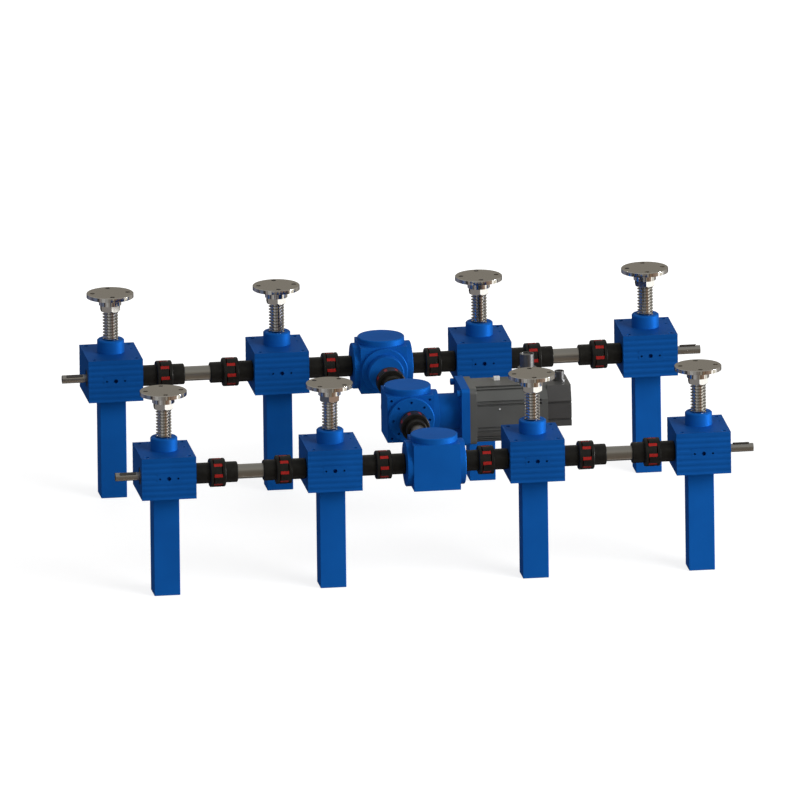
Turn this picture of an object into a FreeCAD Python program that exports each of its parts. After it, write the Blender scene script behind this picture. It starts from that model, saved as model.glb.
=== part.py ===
import FreeCAD, Part
import math
import os

# A screw lift drive: eight screw jacks in two rows, joined by line shafts with jaw couplings.
# A bevel gearbox in each row and one between the rows carry the turn of one motor to all eight.
# Millimetres. X runs along the rows, Y to the back, Z up. The origin is under the middle of the
# machine's outline, level with the lower ends of the jacks' protective tubes.

# Jack housing: a cast block with ribbed front and back, the worm across it and the screw upright
housing_width = 105.0
housing_depth = 130.0
housing_height = 82.0
screw_set_back = 5.0
worm_set_forward = 32.5
mount_hole = 8.5
mount_hole_depth = 16.0
mount_edge = 12.0
vent_hole = 5.0
vent_hole_depth = 4.0
vent_set_back = 17.0
groove_count = 7
groove_pitch = 11.1
groove_width = 8.0
groove_depth = 0.8
first_groove_drop = 10.0
pad_width = 46.0
pad_height = 20.0
grease_hole = 8.0
grease_hole_depth = 9.0
pad_hole = 4.0
pad_hole_depth = 6.0
pad_hole_spacing = 35.0

# Guide collar, screw, top flange, lock nut and protective tube
collar_diameter = 52.0
collar_height = 25.0
collar_chamfer = 2.0
collar_bore_gap = 0.8
collar_spigot_wall = 6.0
screw_diameter = 30.0
screw_showing = 55.5
nut_height = 12.0
nut_across_flats = 36.0
flange_diameter = 90.0
flange_thickness = 8.0
flange_rim_chamfer = 0.8
flange_hub_diameter = 43.0
flange_hub_height = 15.0
flange_cap = 4.0
flange_hole = 9.0
flange_hole_circle = 68.0
flange_hole_count = 4
turned_flange_jack = "front_2"
turned_flange_angle = 50.0
tube_length = 201.0
tube_width = 50.0
tube_wall = 3.0
end_cap_thickness = 4.0
guide_height = 20.0
guide_gap = 0.5
travel_down = 40.0
travel_reserve = 12.0

# Worm gear inside a jack
wheel_width = 32.0
wheel_space = 1.5
journal_diameter = 40.0
thrust_height = 14.0
worm_diameter = 22.0
worm_length = 44.0
worm_shoulder = 18.5
mesh_gap = 1.0
worm_shaft_diameter = 16.0
worm_journal_diameter = 17.0
worm_stub = 47.0
worm_bearing_diameter = 35.0
worm_bearing_width = 10.0
worm_seal_width = 6.0
key_width = 5.0
key_height = 5.0
key_length = 32.0
key_sink = 3.0
left_key_lean = 40.0

# Jaw coupling: two hubs with four jaws each, and a soft spider with a lobe between all jaws
hub_diameter = 40.0
hub_length = 24.0
hub_chamfer = 1.5
jaw_ring_diameter = 55.0
jaw_ring_width = 6.0
jaw_space = 18.0
jaw_end_gap = 2.0
lobe_count = 8
lobe_width = 6.5
lobe_recess = 0.5
lobe_gap = 0.1
spider_bore = 27.0
spider_wall = 3.0
spider_end_gap = 1.0
jack_hub_boss = 4.0
box_hub_boss = 2.5
hub_end_gap = 0.75

# Line shafts: the lengths are what shows between two couplings, or between a neck and its coupling
link_shaft_diameter = 28.0
row_link_showing = 49.5
cross_link_showing = 53.0
neck_shaft_showing = 21.75

# Bevel gearbox: a cube with a round cover, bearing flanges and an input neck
gearbox_width = 90.0
gearbox_bore = 66.0
cover_thickness = 12.0
cover_chamfer = 1.5
cover_spigot = 6.0
bearing_flange_diameter = 88.0
bearing_flange_thickness = 11.5
flange_edge = 1.0
bearing_flange_spigot = 12.0
seal_wall = 2.0
seal_shoulder = 2.0
gearbox_seal_diameter = 28.0
neck_diameter = 68.0
neck_length = 21.5
bevel_shaft_diameter = 18.0
bevel_stub = 33.5
gearbox_bearing_diameter = 42.0
gearbox_bearing_width = 12.0
bevel_inner = 15.0
bevel_outer = 27.0
bevel_back = 4.0
bevel_hub_diameter = 32.0
bevel_gap = 0.4
screw_hole = 5.0
screw_hole_depth = 6.0
screw_hole_circle = 70.0
screw_hole_count = 8
corner_hole_spacing = 73.5

# Motor on the middle gearbox: bell with a square plate, flange, ribbed body, end cover, sockets
bell_diameter = 70.0
bell_length = 40.5
plate_width = 112.0
plate_thickness = 16.0
plate_corner = 8.0
quill_diameter = 32.0
quill_bearing_diameter = 58.0
quill_bearing_width = 13.0
motor_width = 110.0
motor_flange_corner = 11.0
motor_corner_cut = 25.0
motor_flange_thickness = 13.0
motor_length = 137.0
motor_groove_width = 4.0
motor_groove_depth = 4.0
motor_groove_spread = 25.5
motor_groove_gap = 6.5
corner_groove_spread = 11.0
motor_groove_start = 1.0
motor_groove_end = 12.0
motor_shaft_diameter = 19.0
motor_shaft_length = 50.0
motor_pilot_diameter = 80.0
motor_pilot_height = 4.0
motor_bearing_width = 12.0
motor_bearing_diameter = 47.0
rotor_diameter = 58.0
rotor_gap = 1.0
rotor_end_room = 8.0
end_cover_width = 98.0
end_cover_length = 46.4
end_cover_top = 52.0
end_cover_bottom = 26.5
end_cover_slope_height = 28.0
end_cover_slope_depth = 10.0
end_cover_groove_width = 4.0
end_cover_groove_depth = 4.0
end_cover_groove_rise = 18.0
end_cover_groove_drop = 15.0
socket_base_diameter = 36.0
socket_base_height = 25.0
power_socket_diameter = 27.0
power_socket_height = 27.0
signal_socket_foot = 24.0
signal_foot_height = 3.0
signal_socket_diameter = 18.5
signal_socket_height = 15.0
socket_rim = 2.0
power_socket_inset = 32.0
signal_socket_inset = 16.4

# Clearances: pressed or screwed together, turning in a bearing, turning beside, thread to thread
fit_gap = 0.02
running_gap = 0.05
side_gap = 0.5
thread_gap = 0.3
seal_recess = 1.0
seal_gap = 0.1
overcut = 1.0

# Places that follow from the sizes above
centre_distance = screw_set_back + worm_set_forward
axis_height = tube_length + housing_height / 2
hub_reach = hub_length + jaw_ring_width
coupling_length = 2 * hub_reach + jaw_space
coupling_gap = jack_hub_boss + hub_end_gap
half_box = gearbox_width / 2
box_reach = half_box + bearing_flange_thickness
neck_reach = box_reach + neck_length
neck_bearing_end = neck_reach - bearing_flange_thickness
middle_coupling = box_reach + box_hub_boss + hub_end_gap
inner_jack_x = middle_coupling + coupling_length + coupling_gap + housing_width / 2
jack_pitch = housing_width + 2 * (coupling_gap + coupling_length) + row_link_showing
outer_jack_x = inner_jack_x + jack_pitch
neck_coupling = neck_reach + neck_shaft_showing
box_pitch = middle_coupling + neck_coupling + 2 * coupling_length + cross_link_showing
front_reach = max(half_box, housing_depth / 2 - worm_set_forward)
back_reach = housing_depth / 2 + worm_set_forward
middle_y = (front_reach - back_reach) / 2
row_y = {"front": middle_y - box_pitch, "back": middle_y + box_pitch}
row_jack_x = [-outer_jack_x, -inner_jack_x, inner_jack_x, outer_jack_x]
wheel_low = housing_height / 2 - wheel_width / 2
wheel_high = housing_height / 2 + wheel_width / 2
thrust_low = wheel_low - side_gap - thrust_height
thrust_high = wheel_high + side_gap
cavity_height = thrust_high + thrust_height
wheel_diameter = 2 * (centre_distance - worm_diameter / 2 - mesh_gap)
cavity_diameter = wheel_diameter + 2 * wheel_space
worm_seal_start = housing_width / 2 - seal_recess - worm_seal_width
collar_bore = screw_diameter + 2 * collar_bore_gap
collar_spigot_diameter = collar_bore + 2 * collar_spigot_wall
collar_spigot_length = housing_height - cavity_height - side_gap
nut_bottom = housing_height + collar_height + screw_showing
flange_hub_bottom = nut_bottom + nut_height
flange_bottom = flange_hub_bottom + flange_hub_height
flange_top = flange_bottom + flange_thickness
screw_top = flange_top - flange_cap
guide_bottom = end_cap_thickness + travel_down + travel_reserve
tube_inside = tube_width - 2 * tube_wall
bell_reach = box_reach + bell_length
plate_reach = bell_reach + plate_thickness
motor_start = plate_reach + motor_flange_thickness
motor_end = motor_start + motor_length

X_AXIS = FreeCAD.Vector(1, 0, 0)
Y_AXIS = FreeCAD.Vector(0, 1, 0)
Z_AXIS = FreeCAD.Vector(0, 0, 1)
CENTRE = FreeCAD.Vector(0, 0, 0)


def rod(diameter, length, start, axis):
    return Part.makeCylinder(diameter / 2, length, FreeCAD.Vector(*start), axis)


def block(width, depth, height, x, y, bottom):
    corner = FreeCAD.Vector(x - width / 2, y - depth / 2, bottom)
    return Part.makeBox(width, depth, height, corner)


def turned_along_x(profile):
    # A lathe part from its outline of (place along X, radius) points
    points = [FreeCAD.Vector(along, 0, radius) for along, radius in profile]
    return Part.Face(Part.makePolygon(points + points[:1])).revolve(CENTRE, X_AXIS, 360)


def turned_upright(profile):
    # A lathe part from its outline of (radius, height) points
    points = [FreeCAD.Vector(radius, 0, height) for radius, height in profile]
    return Part.Face(Part.makePolygon(points + points[:1])).revolve(CENTRE, Z_AXIS, 360)


def ring_along_x(outer, inner, width, start):
    return turned_along_x([
        (start, inner / 2), (start + width, inner / 2),
        (start + width, outer / 2), (start, outer / 2)])


def ring_upright(outer, inner, height, bottom):
    return turned_upright([
        (inner / 2, bottom), (outer / 2, bottom),
        (outer / 2, bottom + height), (inner / 2, bottom + height)])


def placed(shape, x, y, z, turn=0.0):
    copy = shape.copy()
    copy.rotate(CENTRE, Z_AXIS, turn)
    copy.translate(FreeCAD.Vector(x, y, z))
    return copy


def rolled(shape, angle):
    copy = shape.copy()
    copy.rotate(CENTRE, X_AXIS, angle)
    return copy


def rounded_square(width, corner, length, start):
    # A square bar along X with rounded long edges
    bar = Part.makeBox(length, width, width, FreeCAD.Vector(start, -width / 2, -width / 2))
    long_edges = [edge for edge in bar.Edges if abs(edge.tangentAt(edge.FirstParameter).x) > 0.5]
    return bar.makeFillet(corner, long_edges)


def save(name, solids):
    shape = solids[0] if len(solids) == 1 else Part.makeCompound(solids)
    shape.exportStep("parts/" + name + ".step")


# Screw jack, in its own frame: the middle of the housing's underside is the origin

def housing_grooves():
    radius = (groove_width ** 2 / 4 + groove_depth ** 2) / (2 * groove_depth)
    offset = housing_depth / 2 + radius - groove_depth
    length = housing_width + 2 * overcut
    grooves = []
    for side in (-1, 1):
        for number in range(groove_count):
            height = housing_height - first_groove_drop - number * groove_pitch
            grooves.append(rod(2 * radius, length, (-length / 2, side * offset, height), X_AXIS))
    return grooves


def housing_pads():
    # The smooth pads in the middle of both ribbed faces
    middle = housing_depth / 2 - groove_depth
    low = housing_height / 2 - pad_height / 2
    return [block(pad_width, 2 * groove_depth, pad_height, 0, side * middle, low) for side in (-1, 1)]


def housing_holes():
    holes = []
    hole_x = housing_width / 2 - mount_edge
    hole_y = housing_depth / 2 - mount_edge
    for x in (-hole_x, hole_x):
        for y in (-hole_y, hole_y):
            holes.append(rod(mount_hole, mount_hole_depth, (x, y, housing_height), -Z_AXIS))
    holes.append(rod(vent_hole, vent_hole_depth, (hole_x, vent_set_back, housing_height), -Z_AXIS))
    for side in (-1, 1):
        face = side * housing_depth / 2
        inward = Y_AXIS * -side
        holes.append(rod(grease_hole, grease_hole_depth, (0, face, housing_height / 2), inward))
        for x in (-pad_hole_spacing / 2, pad_hole_spacing / 2):
            holes.append(rod(pad_hole, pad_hole_depth, (x, face, housing_height / 2), inward))
    return holes


def jack_housing():
    body = block(housing_width, housing_depth, housing_height, 0, 0, 0)
    limits = body.copy()
    ribbed = body.cut(housing_grooves())
    body = ribbed.fuse([pad.common(limits) for pad in housing_pads()]).removeSplitter()
    screw_spot = (0, screw_set_back, 0)
    worm_start = (-housing_width / 2 - overcut, -worm_set_forward, housing_height / 2)
    collar_seat = collar_spigot_diameter + 2 * fit_gap
    cuts = housing_holes()
    cuts.append(rod(cavity_diameter, cavity_height, screw_spot, Z_AXIS))
    cuts.append(rod(collar_seat, housing_height + overcut, screw_spot, Z_AXIS))
    cuts.append(rod(worm_bearing_diameter, housing_width + 2 * overcut, worm_start, X_AXIS))
    return body.cut(cuts)


def guide_collar():
    top = housing_height + collar_height
    rim = collar_diameter / 2
    bore = collar_bore / 2
    spigot = collar_spigot_diameter / 2
    return placed(turned_upright([
        (bore, housing_height - collar_spigot_length), (spigot, housing_height - collar_spigot_length),
        (spigot, housing_height), (rim, housing_height), (rim, top - collar_chamfer),
        (rim - collar_chamfer, top), (bore, top)]), 0, screw_set_back, 0)


def bearing_cover():
    outer = cavity_diameter - 2 * fit_gap
    return placed(ring_upright(outer, collar_bore, thrust_low, 0), 0, screw_set_back, 0)


def thrust_bearings():
    outer = cavity_diameter - 2 * fit_gap
    inner = journal_diameter + 2 * running_gap
    rings = [ring_upright(outer, inner, thrust_height, low) for low in (thrust_low, thrust_high)]
    return [placed(ring, 0, screw_set_back, 0) for ring in rings]


def worm_wheel():
    bore = screw_diameter / 2 + thread_gap
    journal = journal_diameter / 2
    rim = wheel_diameter / 2
    return placed(turned_upright([
        (bore, wheel_low - thrust_height), (journal, wheel_low - thrust_height),
        (journal, wheel_low), (rim, wheel_low), (rim, wheel_high), (journal, wheel_high),
        (journal, wheel_high + thrust_height), (bore, wheel_high + thrust_height)]), 0, screw_set_back, 0)


def lift_screw():
    low = guide_bottom - tube_length
    screw = rod(screw_diameter, screw_top - low, (0, 0, low), Z_AXIS)
    side = tube_inside - 2 * guide_gap
    guide = block(side, side, guide_height, 0, 0, low)
    guide = guide.cut(rod(screw_diameter + 2 * fit_gap, guide_height, (0, 0, low), Z_AXIS))
    return [placed(solid, 0, screw_set_back, 0) for solid in (screw, guide)]


def top_flange(turn):
    rim = flange_diameter / 2
    hub = flange_hub_diameter / 2
    bore = screw_diameter / 2 + fit_gap
    flange = turned_upright([
        (0, flange_top), (rim - flange_rim_chamfer, flange_top), (rim, flange_top - flange_rim_chamfer),
        (rim, flange_bottom), (hub, flange_bottom), (hub, flange_hub_bottom),
        (bore, flange_hub_bottom), (bore, screw_top), (0, screw_top)])
    hole = rod(flange_hole, flange_thickness, (flange_hole_circle / 2, 0, flange_bottom), Z_AXIS)
    step = 360 / flange_hole_count
    flange = flange.cut([placed(hole, 0, 0, 0, number * step) for number in range(flange_hole_count)])
    return placed(flange, 0, screw_set_back, 0, turn)


def lock_nut(turn):
    corner = nut_across_flats / math.sqrt(3)
    corners = []
    for number in range(6):
        angle = math.radians(60 * number + 30)
        corners.append(FreeCAD.Vector(corner * math.cos(angle), corner * math.sin(angle), nut_bottom))
    hexagon = Part.Face(Part.makePolygon(corners + corners[:1])).extrude(Z_AXIS * nut_height)
    flat = nut_across_flats / 2
    chamfered = turned_upright([
        (0, nut_bottom), (flat, nut_bottom), (corner, nut_bottom + (corner - flat)),
        (corner, flange_hub_bottom), (0, flange_hub_bottom)])
    bore = rod(screw_diameter + 2 * fit_gap, nut_height, (0, 0, nut_bottom), Z_AXIS)
    return placed(hexagon.common(chamfered).cut(bore), 0, screw_set_back, 0, turn)


def protective_tube():
    outside = block(tube_width, tube_width, tube_length, 0, screw_set_back, -tube_length)
    return outside.cut(block(tube_inside, tube_inside, tube_length, 0, screw_set_back, -tube_length))


def tube_end_cap():
    side = tube_inside - 2 * fit_gap
    return block(side, side, end_cap_thickness, 0, screw_set_back, -tube_length)


# Worm shaft, lying along X with its middle at the origin

def shaft_key(middle_x, turn):
    # A round-ended parallel key, sunk into the top of the shaft and then turned round it
    bottom = worm_shaft_diameter / 2 - key_sink
    straight = key_length - key_width
    bar = block(straight, key_width, key_height, middle_x, 0, bottom)
    end_places = (middle_x - straight / 2, middle_x + straight / 2)
    ends = [rod(key_width, key_height, (end_x, 0, bottom), Z_AXIS) for end_x in end_places]
    return rolled(bar.fuse(ends).removeSplitter(), turn)


def worm_keys():
    middle = housing_width / 2 + worm_stub / 2
    return [shaft_key(-middle, left_key_lean), shaft_key(middle, 0)]


def worm_shaft():
    face = housing_width / 2
    shoulder = worm_seal_start - worm_bearing_width - side_gap
    shaft = worm_shaft_diameter / 2
    journal = worm_journal_diameter / 2
    neck = worm_shoulder / 2
    worm = worm_diameter / 2
    right_half = [
        (worm_length / 2, worm), (worm_length / 2, neck), (shoulder, neck), (shoulder, journal),
        (face, journal), (face, shaft), (face + worm_stub, shaft), (face + worm_stub, 0)]
    left_half = [(-along, radius) for along, radius in reversed(right_half)]
    return turned_along_x(left_half + right_half).cut(worm_keys())


def worm_bearings():
    outer = worm_bearing_diameter - 2 * fit_gap
    inner = worm_journal_diameter + 2 * running_gap
    ring = ring_along_x(outer, inner, worm_bearing_width, worm_seal_start - worm_bearing_width)
    return [placed(ring, 0, 0, 0, turn) for turn in (0, 180)]


def worm_seals():
    outer = worm_bearing_diameter - 2 * fit_gap
    inner = worm_journal_diameter + 2 * seal_gap
    ring = ring_along_x(outer, inner, worm_seal_width, worm_seal_start)
    return [placed(ring, 0, 0, 0, turn) for turn in (0, 180)]


# Jaw coupling, lying along X from the origin; a hub's boss reaches back from there to a housing

def jaw():
    # One jaw: its sides run parallel to the spider's lobes on either side of it
    half_pitch = math.pi / lobe_count
    offset = lobe_width / 2 + lobe_gap
    outer = jaw_ring_diameter / 2
    inner = spider_bore / 2 + spider_wall + lobe_gap

    def corner(radius, side):
        along = math.sqrt(radius ** 2 - offset ** 2)
        y = along * math.cos(half_pitch) + offset * math.sin(half_pitch)
        z = along * math.sin(half_pitch) - offset * math.cos(half_pitch)
        return FreeCAD.Vector(hub_reach, y, side * z)

    rim = Part.Arc(corner(outer, 1), FreeCAD.Vector(hub_reach, outer, 0), corner(outer, -1)).toShape()
    root = Part.Arc(corner(inner, -1), FreeCAD.Vector(hub_reach, inner, 0), corner(inner, 1)).toShape()
    lower = Part.makeLine(corner(outer, -1), corner(inner, -1))
    upper = Part.makeLine(corner(inner, 1), corner(outer, 1))
    return Part.Face(Part.Wire([rim, lower, root, upper])).extrude(X_AXIS * (jaw_space - jaw_end_gap))


def coupling_hub(bore, boss):
    hub = hub_diameter / 2
    ring = jaw_ring_diameter / 2
    hole = bore / 2 + fit_gap
    body = turned_along_x([
        (-boss, hole), (-boss, hub - hub_chamfer), (hub_chamfer - boss, hub), (hub_length, hub),
        (hub_length, ring - hub_chamfer), (hub_length + hub_chamfer, ring),
        (hub_reach, ring), (hub_reach, hole)])
    # Every second space between the lobes holds a jaw of this hub
    step = 360 / lobe_count
    return body.fuse([rolled(jaw(), (2 * number + 1.5) * step) for number in range(lobe_count // 2)])


def keyed_hub(turn):
    # A hub for a worm shaft, with the slot for the shaft's key
    top = worm_shaft_diameter / 2 - key_sink + key_height + lobe_gap
    length = hub_reach + jack_hub_boss
    slot = block(length, key_width + 2 * fit_gap, top, length / 2 - jack_hub_boss, 0, 0)
    return coupling_hub(worm_shaft_diameter, jack_hub_boss).cut(rolled(slot, turn))


def facing_left(hub):
    # The right-hand hub: turned end for end, its jaws come between those of the left-hand one
    return placed(hub, coupling_length, 0, 0, 180)


def coupling_spider():
    start = hub_reach + spider_end_gap
    length = jaw_space - 2 * spider_end_gap
    reach = jaw_ring_diameter - 2 * lobe_recess
    bar = block(length, lobe_width, reach, start + length / 2, 0, -reach / 2)
    bars = [rolled(bar, number * 360 / lobe_count) for number in range(lobe_count // 2)]
    star = bars[0].fuse(bars[1:]).common(rod(reach, length, (start, 0, 0), X_AXIS))
    ring = rod(spider_bore + 2 * spider_wall, length, (start, 0, 0), X_AXIS)
    return star.fuse(ring).cut(rod(spider_bore, length, (start, 0, 0), X_AXIS))


# Bore and boss of the hub for a plain shaft
plain_hubs = {"link": (link_shaft_diameter, 0.0), "bevel": (bevel_shaft_diameter, box_hub_boss)}


def left_hub(shaft):
    return keyed_hub(0) if shaft == "worm" else coupling_hub(*plain_hubs[shaft])


def right_hub(shaft):
    if shaft != "worm":
        return facing_left(coupling_hub(*plain_hubs[shaft]))
    # The slot is cut where the key of the shaft that comes in from the right will lie
    return facing_left(keyed_hub(-left_key_lean))


def couplings(places):
    # Hubs and spiders for a list of (left end, shaft on the left, shaft on the right)
    hubs = []
    spiders = []
    for start, left, right in places:
        hubs.append(placed(left_hub(left), start, 0, 0))
        hubs.append(placed(right_hub(right), start, 0, 0))
        spiders.append(placed(coupling_spider(), start, 0, 0))
    return hubs, spiders


def link_shaft(start, showing):
    # A plain shaft between two couplings, from the end of one to the start of the next
    return rod(link_shaft_diameter, showing + 2 * hub_reach, (start - hub_reach, 0, 0), X_AXIS)


# Bevel gearbox, with its middle at the origin

def gearbox_housing(inputs, through):
    # A cube bored right through along one line, from the top, and from each input side
    cube = block(gearbox_width, gearbox_width, gearbox_width, 0, 0, -half_box)
    bores = [rod(gearbox_bore, half_box, (0, 0, 0), Z_AXIS)]
    bores += [rod(gearbox_bore, half_box, (0, 0, 0), direction) for direction in inputs]
    bores += [rod(gearbox_bore, half_box, (0, 0, 0), through * side) for side in (-1, 1)]
    return cube.cut(bores)


def corner_holes():
    holes = []
    for side in (-1, 1):
        for x in (-corner_hole_spacing / 2, corner_hole_spacing / 2):
            for z in (-corner_hole_spacing / 2, corner_hole_spacing / 2):
                holes.append(rod(screw_hole, screw_hole_depth, (x, side * half_box, z), Y_AXIS * -side))
    return holes


def gearbox_cover():
    rim = gearbox_width / 2
    spigot = gearbox_bore / 2 - fit_gap
    top = half_box + cover_thickness
    return turned_upright([
        (0, half_box - cover_spigot), (spigot, half_box - cover_spigot), (spigot, half_box),
        (rim, half_box), (rim, top - cover_chamfer), (rim - cover_chamfer, top), (0, top)])


def bearing_flange():
    # The flange on the +X side: a spigot holds the bearing inside, the seal sits outside
    inner = half_box - bearing_flange_spigot
    bearing = gearbox_bearing_diameter / 2
    seal = gearbox_seal_diameter / 2
    shoulder = seal - seal_shoulder
    rim = bearing_flange_diameter / 2
    spigot = gearbox_bore / 2 - fit_gap
    bearing_seat = inner + gearbox_bearing_width
    return turned_along_x([
        (inner, bearing), (bearing_seat, bearing), (bearing_seat, shoulder),
        (bearing_seat + seal_wall, shoulder), (bearing_seat + seal_wall, seal), (box_reach, seal),
        (box_reach, rim - flange_edge), (box_reach - flange_edge, rim), (half_box, rim),
        (half_box, spigot), (inner, spigot)])


def flange_screw_holes():
    hole = rod(screw_hole, screw_hole_depth, (box_reach, screw_hole_circle / 2, 0), -X_AXIS)
    step = 360 / screw_hole_count
    return [rolled(hole, number * step) for number in range(screw_hole_count)]


def input_neck():
    # Flange with a long neck on the +X side, with a bearing at either end and a seal
    inner = half_box - bearing_flange_spigot
    bearing = gearbox_bearing_diameter / 2
    seal = gearbox_seal_diameter / 2
    shoulder = seal - seal_shoulder
    rim = bearing_flange_diameter / 2
    spigot = gearbox_bore / 2 - fit_gap
    neck = neck_diameter / 2
    return turned_along_x([
        (inner, bearing), (neck_bearing_end, bearing), (neck_bearing_end, shoulder),
        (neck_bearing_end + seal_wall, shoulder), (neck_bearing_end + seal_wall, seal),
        (neck_reach, seal), (neck_reach, neck - flange_edge),
        (neck_reach - flange_edge, neck), (box_reach, neck), (box_reach, rim - flange_edge),
        (box_reach - flange_edge, rim), (half_box, rim), (half_box, spigot), (inner, spigot)])


def gearbox_bearing(start):
    outer = gearbox_bearing_diameter - 2 * fit_gap
    return ring_along_x(outer, bevel_shaft_diameter + 2 * running_gap, gearbox_bearing_width, start)


def gearbox_seal(end):
    width = bearing_flange_thickness - seal_wall - seal_recess
    outer = gearbox_seal_diameter - 2 * fit_gap
    inner = bevel_shaft_diameter + 2 * seal_gap
    return ring_along_x(outer, inner, width, end - seal_recess - width)


def neck_bearings():
    starts = (half_box - bearing_flange_spigot, neck_bearing_end - gearbox_bearing_width)
    return [gearbox_bearing(start) for start in starts]


def bevel_cone():
    # The blank of a mitre gear on the +X side, with its apex at the gearbox's middle
    return [
        (bevel_inner, bevel_inner - bevel_gap), (bevel_outer, bevel_outer - bevel_gap),
        (bevel_outer, bevel_hub_diameter / 2), (bevel_outer + bevel_back, bevel_hub_diameter / 2)]


def through_shaft():
    reach = box_reach + bevel_stub
    radius = bevel_shaft_diameter / 2
    gear = [(bevel_inner, radius)] + bevel_cone() + [(bevel_outer + bevel_back, radius)]
    return turned_along_x([(-reach, 0), (-reach, radius)] + gear + [(reach, radius), (reach, 0)])


def pinion_shaft():
    reach = neck_coupling + hub_reach
    radius = bevel_shaft_diameter / 2
    gear = [(bevel_inner, 0)] + bevel_cone() + [(bevel_outer + bevel_back, radius)]
    return turned_along_x(gear + [(reach, radius), (reach, 0)])


# Motor and the hollow pinion that its shaft drives, along X from the middle gearbox's middle

def quill_pinion():
    radius = quill_diameter / 2
    end = bell_reach - side_gap
    bore = motor_shaft_diameter / 2 + fit_gap
    bottom = plate_reach - motor_shaft_length - side_gap
    gear = [(bevel_inner, 0)] + bevel_cone() + [(bevel_outer + bevel_back, radius)]
    return turned_along_x(gear + [(end, radius), (end, bore), (bottom, bore), (bottom, 0)])


def quill_bearings():
    outer = quill_bearing_diameter - 2 * fit_gap
    inner = quill_diameter + 2 * running_gap
    starts = (half_box, bell_reach - side_gap - quill_bearing_width)
    return [ring_along_x(outer, inner, quill_bearing_width, start) for start in starts]


def motor_bell():
    bore = quill_bearing_diameter / 2
    rim = bearing_flange_diameter / 2
    bell = bell_diameter / 2
    spigot = gearbox_bore / 2 - fit_gap
    inner = half_box - bearing_flange_spigot
    neck = turned_along_x([
        (inner, bore), (bell_reach, bore), (bell_reach, bell), (box_reach, bell),
        (box_reach, rim - flange_edge), (box_reach - flange_edge, rim), (half_box, rim),
        (half_box, spigot), (inner, spigot)])
    plate = rounded_square(plate_width, plate_corner, plate_thickness, bell_reach)
    pilot_start = plate_reach - motor_pilot_height - side_gap
    pilot = rod(motor_pilot_diameter + 2 * fit_gap, plate_thickness, (pilot_start, 0, 0), X_AXIS)
    return neck.fuse(plate.cut([rod(2 * bore, plate_thickness, (bell_reach, 0, 0), X_AXIS), pilot]))


def motor_flange():
    body = rounded_square(motor_width, motor_flange_corner, motor_flange_thickness, plate_reach)
    pilot_start = plate_reach - motor_pilot_height
    body = body.fuse(rod(motor_pilot_diameter, motor_pilot_height, (pilot_start, 0, 0), X_AXIS))
    bearing_start = motor_start - motor_bearing_width
    shaft_hole = motor_shaft_diameter + 2 * side_gap
    return body.cut([
        rod(motor_bearing_diameter, motor_bearing_width, (bearing_start, 0, 0), X_AXIS),
        rod(shaft_hole, motor_start - pilot_start, (pilot_start, 0, 0), X_AXIS)])


def motor_grooves():
    # Cooling grooves: a pair high and a pair low on the front and the back, a pair by the outer
    # edge of every cut-off corner, and one along the middle of both lower corners
    length = motor_length - motor_groove_start - motor_groove_end
    middle_x = motor_start + motor_groove_start + length / 2
    face = motor_width / 2
    corner_face = (motor_width - motor_corner_cut) / math.sqrt(2)
    bottoms = []
    for step in (-motor_groove_gap / 2, motor_groove_gap / 2):
        for side in (-1, 1):
            bottoms += [(turn, side * motor_groove_spread + step, face) for turn in (-90, 90)]
            offset = side * (corner_groove_spread + step)
            bottoms += [(45 * side, offset, corner_face), (-135 * side, offset, corner_face)]
    bottoms += [(turn, 0, corner_face) for turn in (-135, 135)]
    return [rolled(block(length, motor_groove_width, 2 * motor_groove_depth, middle_x, offset,
                         reach - motor_groove_depth), turn) for turn, offset, reach in bottoms]


def motor_body():
    # A square bar with its four corners cut off flat
    side = motor_width / 2
    cut = side - motor_corner_cut
    corners = [(side, cut), (cut, side), (-cut, side), (-side, cut),
               (-side, -cut), (-cut, -side), (cut, -side), (side, -cut)]
    outline = [FreeCAD.Vector(motor_start, y, z) for y, z in corners]
    body = Part.Face(Part.makePolygon(outline + outline[:1])).extrude(X_AXIS * motor_length)
    bore = rod(rotor_diameter + 2 * rotor_gap, motor_length, (motor_start, 0, 0), X_AXIS)
    return body.cut(motor_grooves() + [bore])


def motor_rotor():
    shaft = motor_shaft_diameter / 2
    rotor = rotor_diameter / 2
    tip = plate_reach - motor_shaft_length
    tail = motor_end + motor_bearing_width
    return turned_along_x([
        (tip, 0), (tip, shaft), (motor_start + rotor_end_room, shaft), (motor_start + rotor_end_room, rotor),
        (motor_end - rotor_end_room, rotor), (motor_end - rotor_end_room, shaft), (tail, shaft), (tail, 0)])


def motor_bearings():
    outer = motor_bearing_diameter - 2 * fit_gap
    inner = motor_shaft_diameter + 2 * running_gap
    starts = (motor_start - motor_bearing_width, motor_end)
    return [ring_along_x(outer, inner, motor_bearing_width, start) for start in starts]


def motor_end_cover():
    # A hood with sloping shoulders, set higher than the motor's axis, with grooves front and back
    side = end_cover_width / 2
    shoulder = side - end_cover_slope_depth
    corners = [
        (side, -end_cover_bottom), (side, end_cover_top - end_cover_slope_height),
        (shoulder, end_cover_top), (-shoulder, end_cover_top),
        (-side, end_cover_top - end_cover_slope_height), (-side, -end_cover_bottom)]
    outline = [FreeCAD.Vector(motor_end, y, z) for y, z in corners]
    hood = Part.Face(Part.makePolygon(outline + outline[:1])).extrude(X_AXIS * end_cover_length)
    length = end_cover_length + 2 * overcut
    cuts = [rod(motor_bearing_diameter, motor_bearing_width + side_gap, (motor_end, 0, 0), X_AXIS)]
    for height in (end_cover_groove_rise, -end_cover_groove_drop):
        for face in (-side, side):
            cuts.append(block(length, 2 * end_cover_groove_depth, end_cover_groove_width,
                              motor_end + end_cover_length / 2, face, height))
    return hood.cut(cuts)


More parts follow.
